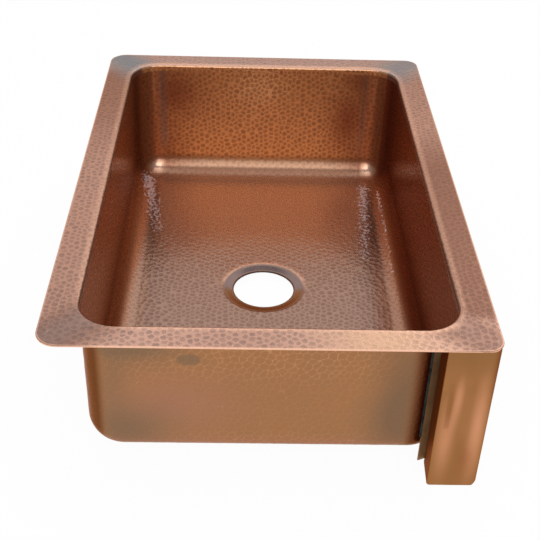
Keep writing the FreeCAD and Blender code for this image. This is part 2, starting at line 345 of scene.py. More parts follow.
WALL_LENGTH = COLLAR_LOW - FLOOR_TOP - FLOOR_TURN + FLOOR_TURN * pi / 2 + FLOOR_REACH - FLOOR_TURN


def wall_points(side, s, v):
    """Inside face of a wall and its normals, at lengths s along the side and v down the wall."""
    centre, out = spine(side, s)
    offset, z, n_out, n_up = wall_section(v)
    points = lift(centre + out * (CORNER + offset)[..., None], z)
    return points, lift(out * n_out[..., None], n_up)


def floor_height(x, y):
    """Floor: level, with a shallow dish that falls to the drain and a soft lip at the recess."""
    r = np.hypot(x, y)
    z = FLOOR_TOP - (FLOOR_TOP - FLOOR_EDGE) * (1 - ramp(r, LAP, DISH))
    lip = np.clip((RECESS + LIP - r) / LIP, 0, 1)
    return z - LIP_DROP * lip ** 2


# ---------------------------------------------------------------- where the blows fall
def bowl_blows(pitch, depth, face, seed, above=0.0, behind=0.0, clear=0.0, upright=False):
    """Blows over the bowl's four walls and its floor.

    They start a length above the collar's edge, lie a thickness behind the inside face and stay clear of a
    circle round the drain.
    """
    spots = []
    for number, side in enumerate(SIDES):
        def place(u, v, side=side):
            points, normals = wall_points(side, u, v - above)
            return points - behind * normals
        spots.append(scatter(place, run_length(side), WALL_LENGTH + above, pitch, seed + number, upright))

    def floor(u, v):
        x, y = u - CORNER_X - 4 * mm, v - CORNER_Y - 4 * mm
        return np.stack([x, y, floor_height(x, y) - behind], -1)[np.hypot(x, y) >= clear]
    spots.append(scatter(floor, 2 * CORNER_X + 8 * mm, 2 * CORNER_Y + 8 * mm, pitch, seed + 10))
    return Blows(np.concatenate(spots), pitch, depth, face, seed + 11)


def rim_blows():
    """Blows over the rim's deck and its roll, down to the collar's edge."""
    pitch = 8.4 * mm

    def deck(u, v):
        x, y = u - RIM_X, v - RIM_Y
        inside_x = np.maximum(np.abs(x) - CORNER_X, 0)
        inside_y = np.maximum(np.abs(y) - CORNER_Y, 0)
        keep = np.hypot(inside_x, inside_y) > CORNER + ROLL
        return np.stack([x, y, np.full_like(x, RIM_TOP)], -1)[keep]
    spots = [scatter(deck, 2 * RIM_X, 2 * RIM_Y, pitch, 50)]
    for number, side in enumerate(SIDES):
        def place(u, v, side=side):
            centre, out = spine(side, u)
            turn = np.clip(v / ROLL, 0, pi / 2)
            offset = ROLL * (1 - np.sin(turn))
            z = RIM_TOP - ROLL * (1 - np.cos(turn)) - np.maximum(v - ROLL * pi / 2, 0)
            return lift(centre + out * (CORNER + offset)[..., None], z)
        spots.append(scatter(place, run_length(side), ROLL * pi / 2 + 6 * mm, pitch * 0.9, 60 + number))
    return Blows(np.concatenate(spots), pitch, 0.17 * mm, 56 * mm, 61)


def apron_blows():
    """Blows over the apron's front and the turn of its hem."""
    pitch = 9.0 * mm

    def place(u, v):
        return np.stack([u - HEM_X, np.full_like(u, APRON_Y), RIM_UNDER - v], -1)
    return Blows(scatter(place, 2 * HEM_X, RIM_UNDER - APRON_LOW, pitch, 70), pitch, 0.32 * mm, 80 * mm, 71)


INSIDE = bowl_blows(8.6 * mm, 0.19 * mm, 64 * mm, 10, above=ROLL * 1.2, clear=RECESS + 2 * mm, upright=True)
OUTSIDE = bowl_blows(8.8 * mm, 0.2 * mm, 130 * mm, 30, behind=SHEET)
RIM = rim_blows()
APRON = apron_blows()


# ---------------------------------------------------------------- paints
class Value:
    """A number on its way through a material; + - * / and ** add the Math nodes."""

    def __init__(self, paint, link):
        self.paint = paint
        self.link = link

    def _math(self, operation, first, second):
        return self.paint.node("ShaderNodeMath", {"operation": operation}, {0: first, 1: second})

    def __add__(self, other):
        return self._math("ADD", self, other)

    def __radd__(self, other):
        return self._math("ADD", other, self)

    def __sub__(self, other):
        return self._math("SUBTRACT", self, other)

    def __rsub__(self, other):
        return self._math("SUBTRACT", other, self)

    def __mul__(self, other):
        return self._math("MULTIPLY", self, other)

    def __rmul__(self, other):
        return self._math("MULTIPLY", other, self)

    def __truediv__(self, other):
        return self._math("DIVIDE", self, other)

    def __pow__(self, other):
        return self._math("POWER", self, other)


class Paint:
    """The nodes of a material or of the world, and the few ways in which they are added."""

    def __init__(self, owner):
        self.owner = owner
        owner.use_nodes = True
        self.tree = owner.node_tree
        self.tree.nodes.clear()
        self.place = self.node("ShaderNodeTexCoord", {}, {}, "Object")

    def node(self, kind, settings, values, output=0):
        """Adds a node: its settings first, then its sockets' values or links. Returns one output."""
        item = self.tree.nodes.new(kind)
        for name, setting in settings.items():
            if name == "stops":
                self._stops(item.color_ramp, setting)
            else:
                setattr(item, name, setting)
        for name, value in values.items():
            if isinstance(value, Value):
                self.tree.links.new(value.link, item.inputs[name])
            else:
                item.inputs[name].default_value = value
        return Value(self, item.outputs[output]) if len(item.outputs) else item

    def _stops(self, band, stops):
        while len(band.elements) < len(stops):
            band.elements.new(0.5)
        for element, (position, level) in zip(band.elements, stops):
            element.position = position
            element.color = (level, level, level, 1)

    def mark(self, name):
        """One of the numbers stored on the mesh's points."""
        return self.node("ShaderNodeAttribute", {"attribute_name": name}, {}, "Fac")

    def noise(self, scale, detail=3.0, roughness=0.5, stretch=(1, 1, 1), shift=(0, 0, 0), distortion=0.0):
        """Cloudy pattern from 0 to 1 with features of about 1/scale metres."""
        at = self.node("ShaderNodeMapping", {}, {"Vector": self.place, "Location": shift, "Scale": stretch})
        return self.node("ShaderNodeTexNoise", {}, {
            "Vector": at, "Scale": scale, "Detail": detail, "Roughness": roughness, "Distortion": distortion})

    def step(self, x, low, high):
        """0 below low, 1 above high, smooth between."""
        return self.node("ShaderNodeMapRange", {"interpolation_type": "SMOOTHSTEP"},
                         {"Value": x, "From Min": low, "From Max": high, "To Min": 0.0, "To Max": 1.0})

    def mix(self, factor, first, second):
        """Mixes two colours, each a Value or an sRGB colour from 0 to 255."""
        ends = [c if isinstance(c, Value) else (*linear(*c), 1.0) for c in (first, second)]
        return self.node("ShaderNodeMix", {"data_type": "RGBA", "clamp_factor": True},
                         {0: factor, 6: ends[0], 7: ends[1]}, 2)

    def bump(self, height, distance, strength=1.0):
        """Normal tilted by a height pattern."""
        return self.node("ShaderNodeBump", {}, {"Height": height, "Distance": distance, "Strength": strength})

    def finish(self, colour, roughness, normal, metallic=1.0, coat=None, edge=(1, 1, 1)):
        """Ends in one metal surface; edge is its tint where it is seen at a low angle."""
        values = {"Base Color": colour, "Roughness": roughness, "Metallic": metallic, "Normal": normal,
                  "Specular Tint": (*edge, 1.0)}
        if coat is not None:
            values |= {"Coat Weight": coat, "Coat Roughness": 0.14}
        shader = self.node("ShaderNodeBsdfPrincipled", {}, values)
        self.node("ShaderNodeOutputMaterial", {}, {"Surface": shader})
        return self.owner


def linear(r, g, b):
    """Linear colour of an sRGB one given from 0 to 255."""
    return tuple((c / 255 / 12.92) if c <= 10 else ((c / 255 + 0.055) / 1.055) ** 2.4 for c in (r, g, b))


def hammered_copper(name, ridge, hollow, grey, warm, dark, worn, wall=None, line=(0.1, 0.75), contrast=1.0,
                    spread=0.65, fading=False, polish=(0.25, 0.32), coat=0.2, edge=(0.9, 0.62, 0.5)):
    """Antiqued hammered copper: patina stays in the dents, and the thin ridges between are rubbed bright.

    The marks say where the metal is grey from the torch, darker (mostly painted shade), warmer or worn bright
    (the same mark also lays in painted glints), where painted shade and painted highlights are laid in, and
    where it is wall.
    """
    p = Paint(bpy.data.materials.new(name))
    cloud = p.noise(7.0, 4.0, 0.55)
    mottle = p.noise(60.0, 3.0, 0.6, shift=(3, 1, 2))
    fine = p.noise(420.0, 2.0, 0.6, shift=(7, 5, 1))
    clouded = p.step(cloud + (mottle - 0.5) * 0.3, 0.36, 0.66)
    ragged = (mottle - 0.5) * 0.25 + (fine - 0.5) * 0.12
    in_dent = p.step(p.mark("inside") + ragged * ((line[1] - line[0]) / 0.65), *line)
    grey_here = p.mark("grey")
    wear_and_glint_here = p.mark("worn")
    if fading:
        patina = 1 - (1 - in_dent) * contrast * (0.25 + p.mark("lined") * 0.75)
    else:
        patina = in_dent * (0.78 + (p.mark("tone") - 0.5) * spread) * contrast * (1 - grey_here * 0.6)
    on_wall = p.mark("wall")
    if wall:
        ridge = p.mix(on_wall, ridge, wall[0])
        hollow = p.mix(on_wall, hollow, wall[1])
    colour = p.mix(patina, ridge, p.mix(clouded * 0.2, hollow, grey))
    colour = p.mix(p.mark("warm"), colour, warm)
    # The dark mark is mostly painted shade.
    colour = p.mix(p.mark("dark"), colour, dark)
    colour = p.mix(grey_here, colour, grey)
    colour = p.mix(wear_and_glint_here, colour, worn)
    # Painted shade: a near-black colour laid into corners and other shaded places where its mark is set.
    colour = p.mix(p.mark("soot") * (0.75 + cloud * 0.4), colour, PAINTED_SHADE_COLOUR)
    # Painted highlights and reflections: a pale sheen colour laid on where its mark is set.
    sparkle = p.noise(230.0, 2.0, 0.5, stretch=(0.7, 1, 1.8), shift=(2, 9, 4))
    bloom = p.step(p.mark("bloom") + (sparkle - 0.5) * 1.9 - in_dent * 0.3, 0.3, 0.9)
    colour = p.mix(bloom, colour, PAINTED_SHEEN_COLOUR)
    roughness = polish[0] + in_dent * (polish[1] - polish[0]) + (fine - 0.5) * 0.06 - wear_and_glint_here * 0.08
    normal = p.bump(fine + mottle * 0.6, 0.00003, 0.5)
    wax = coat * (1 - p.mark("dark"))
    metallic = 1 - (on_wall * 0.4 + bloom * 0.5 + p.mark("warm") * 0.3) * (1 - wear_and_glint_here)
    return p.finish(colour, roughness, normal, metallic, wax, edge)


def plain_copper(name, light, dark, grey, warm, darkened, worn, streak=(1, 1, 1), polish=0.3, metallic=1.0):
    """Smooth satin copper with soft streaks and clouds of tarnish, and the same marks as hammered copper."""
    p = Paint(bpy.data.materials.new(name))
    cloud = p.noise(14.0, 4.0, 0.55, stretch=streak)
    mottle = p.noise(60.0, 3.0, 0.6, stretch=streak, shift=(4, 0, 2))
    fine = p.noise(600.0, 2.0, 0.6)
    colour = p.mix(p.step(cloud + (mottle - 0.5) * 0.25, 0.36, 0.66), light, dark)
    colour = p.mix(p.step(mottle, 0.5, 0.8) * 0.35, colour, grey)
    warmed = p.step(p.mark("warm") + (cloud - 0.5) * 0.5 + (mottle - 0.5) * 0.15, 0.1, 0.75)
    colour = p.mix(warmed, colour, warm)
    colour = p.mix(p.mark("grey"), colour, grey)
    # Darker where the dark mark is set: painted shade in the apron's fold and return, stains, and the drain
    # ring's darker places.
    colour = p.mix(p.mark("dark"), colour, darkened)
    colour = p.mix(p.mark("worn"), colour, worn)
    roughness = polish + (mottle - 0.5) * 0.14 + (fine - 0.5) * 0.05 + p.mark("dark") * 0.3
    metallic = metallic - p.mark("dark") * (0.2 * metallic)
    normal = p.bump(fine + mottle, 0.00003, 0.5)
    return p.finish(colour, roughness, normal, metallic, edge=(0.7, 0.42, 0.26))


def soft_solder(name, light, dark, polish=0.5):
    """Dull solder or weld metal, lumpy and tarnished."""
    p = Paint(bpy.data.materials.new(name))
    cloud = p.noise(60.0, 4.0, 0.6)
    lump = p.noise(260.0, 3.0, 0.6, shift=(1, 2, 3))
    colour = p.mix(p.step(cloud + (lump - 0.5) * 0.5, 0.35, 0.68), light, dark)
    roughness = polish + (lump - 0.5) * 0.2
    return p.finish(colour, roughness, p.bump(lump + cloud, 0.0004, 0.8))


# Copper rubbed bright, also the colour of the painted glints.
BRIGHT = (250, 196, 166)
# Colour of the painted highlights and reflections.
PAINTED_SHEEN_COLOUR = (232, 216, 220)
# Colour of the painted shade.
PAINTED_SHADE_COLOUR = (66, 30, 22)
WALL_TONES = ((238, 168, 110), (186, 121, 73))
RIM_COPPER = hammered_copper(
    "rim_copper", (218, 170, 148), (180, 141, 127), (142, 148, 152), (244, 194, 158), (140, 100, 84), BRIGHT,
    wall=WALL_TONES)
BOWL_COPPER = hammered_copper(
    "bowl_copper", (166, 132, 116), (146, 113, 99), (138, 113, 101), (196, 155, 129), (150, 77, 49), BRIGHT,
    spread=0.35, edge=(0.8, 0.48, 0.32), wall=WALL_TONES)
OUTER_COPPER = hammered_copper(
    "outer_copper", (190, 138, 98), (170, 117, 76), (128, 102, 79), (176, 121, 94), (88, 42, 18),
    (110, 122, 100), line=(0.0, 0.4), contrast=0.75, fading=True, coat=0.08)
APRON_COPPER = hammered_copper(
    "apron_copper", (190, 136, 104), (154, 106, 80), (140, 110, 92), (205, 140, 96), (120, 84, 60), BRIGHT,
    line=(0.0, 0.4), spread=0.4)
SMOOTH_COPPER = plain_copper(
    "smooth_copper", (166, 114, 72), (156, 106, 64), (140, 100, 62), (214, 150, 110), (132, 66, 30), BRIGHT,
    streak=(1, 1, 0.4))
SEAT_COPPER = plain_copper(
    "seat_copper", (160, 126, 112), (146, 112, 98), (136, 118, 116), (160, 120, 88), (80, 54, 42), BRIGHT,
    polish=0.2)
WELD_COPPER = soft_solder("weld_copper", (150, 100, 70), (90, 60, 45))
BRAZE = soft_solder("braze", (190, 160, 105), (120, 90, 55))
TINNED = plain_copper(
    "tinned_copper", (172, 140, 100), (140, 112, 80), (126, 112, 88), (150, 120, 90), (60, 44, 32),
    (170, 175, 170), polish=0.45, metallic=0.4)
SOLDER = soft_solder("solder", (50, 54, 48), (24, 28, 26))
WALL_PAINTS = (BOWL_COPPER, OUTER_COPPER)


# ---------------------------------------------------------------- the rim
def rim_runs(step):
    """The rim's section, as three smooth runs of (share of the deck, offset, height, normal out, normal up).

    The first climbs the collar's inner face, rounds the roll, crosses the deck and turns over the edge. The
    second comes back under the deck and down the collar. The third closes the collar's lower edge.
    """
    def run(*parts):
        rows = []
        for share, offset, z, out, up in parts:
            columns = np.broadcast_arrays(*[np.asarray(c, float) for c in (share, offset, z, out, up)])
            rows.append(np.stack(columns, -1).reshape(-1, 5))
        rows = [rows[0]] + [r[1:] for r in rows[1:]]
        return np.concatenate(rows)

    bend = RIM_TOP - ROLL
    roll = np.linspace(0, pi / 2, 8)
    edge = np.linspace(0, pi / 2, 5)
    deck = np.linspace(0, 1, int(33 * mm / step) + 1)
    climb = np.linspace(COLLAR_LOW, bend, 6)
    under = np.linspace(1, 0, 9)
    tight = ROLL - COLLAR_SHEET
    face = run(
        (0, 0, climb, -1, 0),
        (0, ROLL * (1 - np.cos(roll)), bend + ROLL * np.sin(roll), -np.cos(roll), np.sin(roll)),
        (deck, ROLL, RIM_TOP, 0, 1),
        (1, ROLL + RIM_EDGE * np.sin(edge), RIM_TOP - RIM_EDGE * (1 - np.cos(edge)),
         np.sin(edge), np.cos(edge)),
        (1, ROLL + RIM_EDGE, np.array([RIM_TOP - RIM_EDGE, RIM_UNDER]), 1, 0),
    )
    back = run(
        (under, ROLL + RIM_EDGE * under, RIM_UNDER, 0, -1),
        (0, ROLL - tight * np.sin(edge), bend + tight * np.cos(edge), np.sin(edge), -np.cos(edge)),
        (0, COLLAR_SHEET, np.linspace(bend, COLLAR_LOW, 3), 1, 0),
    )
    lip = run((0, np.array([COLLAR_SHEET, 0]), COLLAR_LOW, 0, -1))
    return face, back, lip


def rim_strip(side):
    """One mitred strip of the rim: its section carried along the side, the deck stretched to the edge."""
    piece = Piece("rim_" + side)
    s = spaced(run_length(side), 1.05 * mm)
    centre, out = spine(side, s)
    stretch = rim_reach(centre, out) - CORNER - ROLL - RIM_EDGE
    narrow = stretch.min()
    grids = []
    for number, run in enumerate(rim_runs(1.1 * mm)):
        share, offset, z, n_out, n_up = run.T
        far = CORNER + offset[None, :] + share[None, :] * stretch[:, None]
        flat = centre[:, None] + out[:, None] * far[..., None]
        points = lift(flat, z[None, :])
        normals = lift(out[:, None] * n_out[None, :, None], n_up[None, :])
        marks = None
        if number == 0:
            beside = mitre_distance(flat)
            across = share * narrow + offset
            strength = ramp(beside, 1 * mm, 12 * mm) * 0.75 + 0.25
            strength = strength * ramp(across, narrow + 4.6 * mm, narrow + 2 * mm)[None, :]
            points, normals, marks = RIM.strike(points, normals, strength)
            marks |= rim_tones(flat)
            near_corner = ramp(beside, 60 * mm, 20 * mm) * (flat[..., 0] < 0) * (flat[..., 1] > 0)
            # Along the roll the copper is rubbed bright and partly painted with a highlight in place of its
            # glint; the outer edge is worn bright.
            on_roll = ramp(offset, 0.1 * mm, 0.8 * mm) * ramp(offset + share * 40 * mm, 12 * mm, 5 * mm)
            on_edge = ramp(across, narrow + 4.4 * mm, narrow + 5.2 * mm)
            roll_wear_and_highlight = 0.25 if side in ("front", "back") else 0.6
            marks["worn"] = (roll_wear_and_highlight * on_roll)[None, :] * (1 - 0.9 * near_corner) + (0.9 * on_edge)[None, :]
            marks["wall"] = ramp(offset, 2 * mm, 0.5 * mm)[None, :]
            marks["grey"] = marks["grey"] * (1 - marks["wall"])
            # Painted shade: the collar on the long sides darker, like the long walls below it.
            if side in ("front", "back"):
                marks["dark"] = np.maximum(marks["dark"], 0.95 * marks["wall"])
        piece.patch(points, normals, marks)
        grids.append(points)
    for end, sign in ((0, -1), (-1, 1)):
        loop = np.concatenate([g[end][:-1] for g in grids])
        way = np.array([-out[end][1], out[end][0], 0]) * sign
        piece.cap(loop, way)
    piece.build((RIM_COPPER,), "rim_" + side)


def mitre_distance(flat):
    """Distance in plan to the nearest mitre line, measured square to it, outside the bowl's corners."""
    x = np.abs(flat[..., 0]) - CORNER_X
    y = np.abs(flat[..., 1]) - CORNER_Y
    across = np.abs(x * sin(MITRE) - y * cos(MITRE))
    return np.where(x * cos(MITRE) + y * sin(MITRE) > 0, across, 1.0)


def spot(u, v, centre, reach):
    """A soft round or oval patch: 1 at its centre, falling as exp(-r squared), r counted in reaches."""
    return np.exp(-((u - centre[0]) / reach[0]) ** 2 - ((v - centre[1]) / reach[1]) ** 2)


def bell(x, centre, reach):
    """1 at a centre, falling as exp(-r squared), r counted in reaches."""
    return np.exp(-((x - centre) / reach) ** 2)


def rim_tones(flat):
    """Where the rim is grey from the torch, darker along its long sides (partly painted shade) and near its
    near corners, and warmer and lighter at the near right (partly a painted highlight).
    """
    x, y = flat[..., 0], flat[..., 1]
    mitre = ramp(mitre_distance(flat), (40 + 25 * ramp(x, 0, 0.2)) * mm, 2 * mm)
    grey = np.maximum(mitre * (0.08 + 0.14 * (y > 0) + 0.8 * ramp(x, -0.1, 0.25)), 0.3 * ramp(x, 0.335, 0.35))
    # Partly painted shade: the front side darker at its near end, the back side darker at its far end.
    along_side = ramp(x, -0.35, -0.31) * ramp(x, 0.36, 0.3)
    dark = along_side * np.where(y < 0, 0.9 - 0.46 * ramp(x, 0.0, 0.15), 0.46 + 0.3 * ramp(x, 0.0, 0.2))
    # Partly a painted highlight: a warm light patch at the near right.
    warm = 0.9 * spot(x, y, (-0.363, -0.118), (0.05, 0.062))
    near_mitre = ramp(mitre_distance(flat), np.where(y > 0, 66, 46) * mm, 14 * mm)
    near_mitre = near_mitre * ramp(x, -0.2, -0.3) * (0.66 + 0.1 * (y > 0))
    dark = np.maximum(dark * (np.abs(y) > 0.2), 0.2 * spot(x, y, (-0.36, 0.03), (0.04, 0.07)))
    return {"grey": grey, "dark": np.maximum(dark, near_mitre), "warm": warm}


# ---------------------------------------------------------------- the bowl
BORDERS = (0, -1, (slice(None), 0), (slice(None), -1))


def sheet_piece(name, points, normals, struck, struck_back, edges, paints, node):
    """A sheet: its struck face, its back 1.6 mm behind, and the strips that close its borders.

    The edges are normals for the strips at the first and last row and the first and last column, or None.
    """
    piece = Piece(name)
    back = points - normals * SHEET
    face, face_normals, face_marks = struck(points, normals)
    rear, rear_normals, rear_marks = struck_back(back, -normals)
    piece.patch(face, face_normals, face_marks)
    piece.patch(rear, rear_normals, rear_marks)
    for border, normal in zip(BORDERS, edges):
        if normal is not None:
            piece.edge(face[border], rear[border], normal)
    return piece.build(paints, node)


def strike_inside(points, normals, strength=1.0):
    """Blows of the bowl's inside, and its tones."""
    points, normals, marks = INSIDE.strike(points, normals, strength)
    return points, normals, marks | bowl_tones(points)


def unstruck(points, normals):
    """A smooth back."""
    return points, normals, None


def outer_tones(points):
    """Outside of the bowl: olive patches and pinker fields, a spot of teal flux, painted shade in the upright
    corners and beside the apron, a painted shadow under the rim, and darker towards the bottom.
    """
    x, y, z = xyz(points)
    end = ramp(np.abs(x), 0.32, 0.34)
    olive = (
        1.0 * spot(y, z, (0.165, 0.045), (0.055, 0.04)) + 0.6 * ramp(z, 0.145, 0.17) * ramp(y, 0.05, 0.16)
        + 0.8 * spot(y, z, (-0.165, 0.12), (0.035, 0.08)) + 0.5 * spot(y, z, (0.18, 0.12), (0.02, 0.05))
        + 0.5 * spot(y, z, (0.15, 0.165), (0.045, 0.025)) + 0.8 * spot(y, z, (-0.16, 0.06), (0.05, 0.05)))
    pink = 0.7 * spot(y, z, (0.11, 0.085), (0.07, 0.045)) + 0.5 * ramp(z, 0.045, 0.02)
    # Painted shade: the upright corners darker.
    corner = np.where(y < 0, ramp(-y, 0.157, 0.175), 0.9 * ramp(y, 0.186, 0.2) * ramp(np.abs(x), 0.29, 0.33))
    low = ramp(z, 0.03, 0.004)
    flux = spot(y, z, (-0.172, 0.012), (0.012, 0.007)) * ramp(x, -0.3, -0.32)
    patch = ramp(((y - 0.091) / 0.0135) ** 2 + ((z - 0.153) / 0.008) ** 2, 1.4, 0.7) * ramp(x, -0.3, -0.32)
    lined = np.maximum(ramp(np.abs(y - 0.03), 0.19, 0.12), ramp(np.abs(x), 0.33, 0.28))
    lined = np.maximum(ramp(z, 0.105, 0.15) * lined, ramp(z, 0.05, 0.025))
    grey = np.maximum(np.clip(0.8 * olive, 0, 0.8) * end * (1 - corner), 0.7 * patch)
    warm = np.clip(pink, 0, 0.8) * end * (1 - corner)
    # Painted shade along the end walls' front edges, beside the apron.
    soot = np.maximum(0.9 * ramp(-y, 0.17, 0.188), 0.14 * ramp(-y, 0.1, 0.15)) * end
    # Darker along the corners and towards the bottom; the band under the rim is a painted shadow.
    dark = np.clip(0.9 * corner + 0.5 * low + 0.25 * ramp(z, 0.178, 0.19), 0, 0.95)
    return {"lined": lined, "grey": grey, "warm": warm, "soot": soot, "dark": dark, "worn": 0.7 * flux}


def streak(x, y, start, end, width):
    """A streak in plan: 1 on the line between two points, falling as exp(-(distance / width) squared)."""
    run = np.array(end) - np.array(start)
    t = np.clip(((x - start[0]) * run[0] + (y - start[1]) * run[1]) / (run @ run), 0, 1)
    gap = np.hypot(x - start[0] - t * run[0], y - start[1] - t * run[1])
    return np.exp(-(gap / width) ** 2) * (1 - 0.45 * t)


def wall_slant(points):
    """A band that slants down each long wall, a bell 16 mm high on each side of its middle; it strikes harder
    there and carries a painted reflection.
    """
    x, y, z = xyz(points)
    band = bell(z - 0.192 + 0.55 * np.abs(x - 0.02), 0, 0.016)
    return band * ramp(x, 0.0, 0.03) * ramp(x, 0.2, 0.14) * (np.abs(y) > 0.212)


# Places of the painted glints, bright spots in the floor's turn at the far corners.
GLINTS = np.array([[0.3335, 0.181, 0.017], [0.333, -0.183, 0.017]])


def bowl_painted_sheen(points):
    """Painted highlights and reflections in a pale colour: streaks at both far corners of the floor, a line
    along its front edge, and a slant on each long wall.
    """
    x, y, z = xyz(points)
    low = ramp(z, 0.024, 0.016)
    left = 1.05 * streak(x, y, (0.304, 0.195), (0.15, 0.168), 0.014)
    right = 0.92 * streak(x, y, (0.29, -0.174), (0.08, -0.158), 0.013)
    edge = 0.8 * streak(x, y, (0.274, -0.1965), (0.03, -0.1955), 0.0032)
    return np.clip(low * np.maximum(left, np.maximum(right, edge)) + 0.36 * wall_slant(points), 0, 1)


def bowl_tones(points):
    """Inside of the bowl: a floor that warms to the far end, painted highlights and reflections, painted
    glints at the far corners, a painted highlight on the far side of the drain's lip and painted shade on its
    near side, and a browner strip along the front edge.
    """
    x, y, z = xyz(points)
    warm = 0.85 * ramp(x, 0.0, 0.26) * ramp(z, 0.02, 0.006) * ramp(np.abs(y), 0.2, 0.16)
    warm = np.maximum(warm, 0.75 * ramp(x, 0.305, 0.32) * ramp(z, 0.034, 0.024) * ramp(np.abs(y), 0.2, 0.18))
    warm = np.maximum(warm, 0.5 * ramp(np.abs(y), 0.165, 0.18) * ramp(z, 0.02, 0.008) * ramp(x, 0.3, 0.2))
    # Painted glints and a painted highlight on the drain's lip, carried by the wear mark.
    glow = sum(1.2 * np.exp(-((points - glint) ** 2).sum(-1) / 0.011 ** 2) for glint in GLINTS)
    r = np.hypot(x, y)
    lit_lip = 0.42 * spot(r, z, (RECESS + LIP, FLOOR_EDGE), (3 * mm, 3 * mm)) * ramp(x, -0.01, 0.03)
    glow = np.maximum(glow, lit_lip)
    # Painted shade: the near side of the drain's lip darker.
    lip = ramp(r, RECESS + 4.5 * mm, RECESS + 1 * mm) * ramp(x, 0.02, -0.015)
    soot = 0.36 * lip * (z < 5 * mm)
    brown = 0.3 * ramp(-y, 0.15, 0.175) * ramp(x, 0.25, 0.1) * ramp(z, 0.03, 0.015)
    return {"bloom": bowl_painted_sheen(points), "warm": warm, "worn": glow, "soot": soot, "dark": brown}


def bowl_wall(side, step):
    """One wall from the collar down to the flat of the floor, half a corner at each end."""
    long_side = side in ("front", "back")
    s = spaced(run_length(side), step)
    ss, vv = np.meshgrid(s, spaced(WALL_LENGTH, step), indexing="ij")
    points, normals = wall_points(side, ss, vv)
    from_mitre = np.minimum(ss, run_length(side) - ss)
    turned = WALL_LENGTH - FLOOR_REACH + FLOOR_TURN - vv
    low = 4 if long_side else 7
    wall = ramp(turned, low * mm, (low + 30) * mm)
    if long_side:
        strength = 0.06
        # Painted shade: the long walls darker, the front one most.
        dark = (1.0 if side == "front" else 0.75) * wall
    else:
        strength = 0.7
        # Painted shade: the end walls darker towards their corners.
        dark = 0.68 * ramp(turned, 4 * mm, 34 * mm) * ramp(from_mitre, 110 * mm, 10 * mm)
        # Dark patches high on the end walls near their corners.
        across, up = points[..., 1], points[..., 2]
        dark_patches = spot(across, up, (0.152, 0.15), (0.045, 0.05))
        dark_patches = dark_patches + spot(across, up, (-0.145, 0.105), (0.032, 0.06))
        dark_patches = np.maximum(dark_patches, 0.9 * spot(across, up, (-0.165, 0.175), (0.035, 0.03)))
        dark = np.maximum(dark, 0.8 * np.minimum(dark_patches, 1))
    # Painted shade: dark bands in the far upright corners, and a little over the whole front wall.
    most, beside = (0.25, 0) if side == "right" else (0.62, 16 * mm)
    soot = most * bell(from_mitre, beside, 14 * mm)
    soot = soot * ramp(turned, 10 * mm, 45 * mm) * (points[..., 0] > 0)
    if side == "right":
        # Painted shade: a dark line along the far wall's floor turn, under its highlight.
        level = bell(turned, 22 * mm, 6 * mm) * ramp(from_mitre, 40 * mm, 60 * mm)
        dark = np.maximum(dark, 0.4 * level)
    if side == "front":
        soot = np.maximum(soot, 0.16 * wall)
    on_turn = ramp(turned, 6 * mm, 20 * mm) * ramp(turned, 60 * mm, 45 * mm)
    force = (1 - (1 - strength) * wall) * (1 - 0.55 * on_turn)
    if long_side:
        force = force + 0.8 * wall_slant(points)

    def face(points, normals):
        points, normals, marks = strike_inside(points, normals, force)
        if side == "right":
            # Painted highlights on the far wall: a pale upright band beside each corner and a bright line
            # along the floor's turn.
            upright = bell(from_mitre, 36 * mm, 7 * mm) * ramp(points[..., 2], 0.03, 0.08)
            marks["grey"] = np.where(points[..., 1] > 0, 0.55, 0.3) * upright
            line = bell(turned, 31.5 * mm, 4 * mm) * ramp(from_mitre, 20 * mm, 45 * mm)
            marks["worn"] = np.maximum(marks["worn"], 0.2 * line)
        marks["wall"] = wall
        marks["dark"] = np.maximum(dark, marks["dark"])
        marks["soot"] = np.maximum(soot, marks["soot"])
        return points, normals, marks

    def rear(points, normals):
        points, normals, marks = OUTSIDE.strike(points, normals)
        return points, normals, marks | outer_tones(points)
    out = spine(side, s)[1]
    edges = (np.array([out[0][1], -out[0][0], 0]), np.array([-out[-1][1], out[-1][0], 0]), (0, 0, 1),
             lift(-out, np.zeros(len(s)))[:, None])
    sheet_piece("bowl_wall_" + side, points, normals, face, rear, edges,
                WALL_PAINTS, "basin_shell")


def floor_normals(x, y):
    """Upward normals of the floor, from the slope of its height."""
    small = 0.02 * mm
    slope_x = (floor_height(x + small, y) - floor_height(x - small, y)) / (2 * small)
    slope_y = (floor_height(x, y + small) - floor_height(x, y - small)) / (2 * small)
    normals = np.stack([-slope_x, -slope_y, np.ones_like(x)], -1)
    return normals / np.linalg.norm(normals, axis=-1)[..., None]


def floor_end(side):
    """Floor between the middle and one end wall: a plain grid whose outer corners follow the wall's turn."""
    sign = -1 if side == "left" else 1
    far_x = CORNER_X + CORNER - FLOOR_REACH
    far_y = CORNER_Y + CORNER - FLOOR_REACH
    corner = CORNER - FLOOR_REACH
    x = MIDDLE_X + spaced(far_x - MIDDLE_X, 1.8 * mm)
    y = spaced(2 * far_y, 1.8 * mm) - far_y
    xx, yy = np.meshgrid(x, y, indexing="ij")
    dx, dy = np.maximum(xx - far_x + corner, 0), np.maximum(np.abs(yy) - far_y + corner, 0)
    pull = np.minimum(1, corner / np.maximum(np.hypot(dx, dy), 1e-9))
    xx = np.where((dx > 0) & (dy > 0), far_x - corner + dx * pull, xx)
    yy = np.where((dx > 0) & (dy > 0), np.sign(yy) * (far_y - corner + dy * pull), yy)
    xx = xx * sign
    points = np.stack([xx, yy, floor_height(xx, yy)], -1)
    edges = ((-sign, 0, 0), (sign, 0, 0), (0, -1, 0), (0, 1, 0))
    sheet_piece("bowl_floor_" + side, points, floor_normals(xx, yy), strike_inside, OUTSIDE.strike, edges,
                WALL_PAINTS, "basin_shell")


